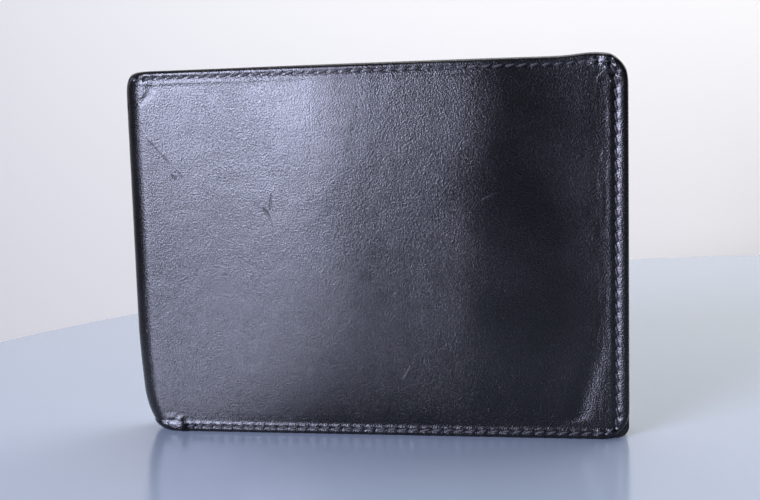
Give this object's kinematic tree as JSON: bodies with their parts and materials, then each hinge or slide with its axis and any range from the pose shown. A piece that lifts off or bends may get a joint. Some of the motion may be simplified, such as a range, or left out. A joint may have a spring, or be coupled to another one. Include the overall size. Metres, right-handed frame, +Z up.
{
  "type": "bifold wallet",
  "caption": "Black leather bifold wallet, closed and standing on its long edge, that opens at the fold to card pockets, an identity window and a snap-flap coin pouch.",
  "frame": {"origin": "middle of the closed wallet's footprint, on the surface it stands on", "axes": "+X along the width, from the fold to the free edge; +Y through the thickness, from the front cover to the back cover; +Z up the height, from the long lower edge to the open top of the banknote compartment"},
  "size_m": [0.129, 0.02, 0.095],
  "materials": {
    "outer_leather": "smooth black leather, semi-gloss, fine grain",
    "inner_leather": "thin black leather, satin",
    "lining": "black woven nylon lining, matte",
    "film": "clear glossy film",
    "snap_metal": "nickel-plated, polished",
    "thread": "twisted polyester sewing thread, satin"
  },
  "bodies": {
    "back": {"back_cover": "outer_leather", "back_cover_lining": "lining", "back_note_wall": "inner_leather", "card_panel": "inner_leather", "card_pocket_top": "inner_leather", "card_pocket_middle": "inner_leather", "card_pocket_lower": "inner_leather", "id_window_film": "film", "id_window_frame": "inner_leather", "back_edge_thread": "thread", "card_pocket_thread": "thread"},
    "spine": {"spine_cover": "outer_leather", "spine_lining": "lining", "spine_note_wall": "inner_leather"},
    "front": {"front_cover": "outer_leather", "front_cover_lining": "lining", "front_note_wall": "inner_leather", "coin_panel": "inner_leather", "coin_pouch_back": "lining", "coin_pouch_seam": "inner_leather", "coin_flap_root": "inner_leather", "snap_stud": "snap_metal", "snap_post": "snap_metal", "front_edge_thread": "thread", "coin_pouch_thread": "thread", "coin_flap_root_thread": "thread"},
    "coin_flap": {"coin_flap_leather": "inner_leather", "coin_flap_lining": "lining", "snap_cap": "snap_metal", "snap_socket": "snap_metal", "coin_flap_thread": "thread"}
  },
  "joints": [
    {"name": "spine_fold", "type": "hinge", "parent": "back", "child": "spine", "pos_m": [-0.0626, 0.0046, 0.0475], "axis": [0, 0, -1], "range_deg": [0, 90]},
    {"name": "front_fold", "type": "hinge", "parent": "spine", "child": "front", "pos_m": [-0.0626, -0.0046, 0.0475], "axis": [0, 0, -1], "range_deg": [0, 90]},
    {"name": "coin_flap_hinge", "type": "hinge", "parent": "front", "child": "coin_flap", "pos_m": [0.002, -0.0036, 0.0803], "axis": [1, 0, 0], "range_deg": [0, 126]}
  ],
  "couplings": [
    {"joint": "front_fold", "follows": "spine_fold", "ratio": 1},
    {"joint": "coin_flap_hinge", "follows": "spine_fold", "ratio": 1.4}
  ]
}
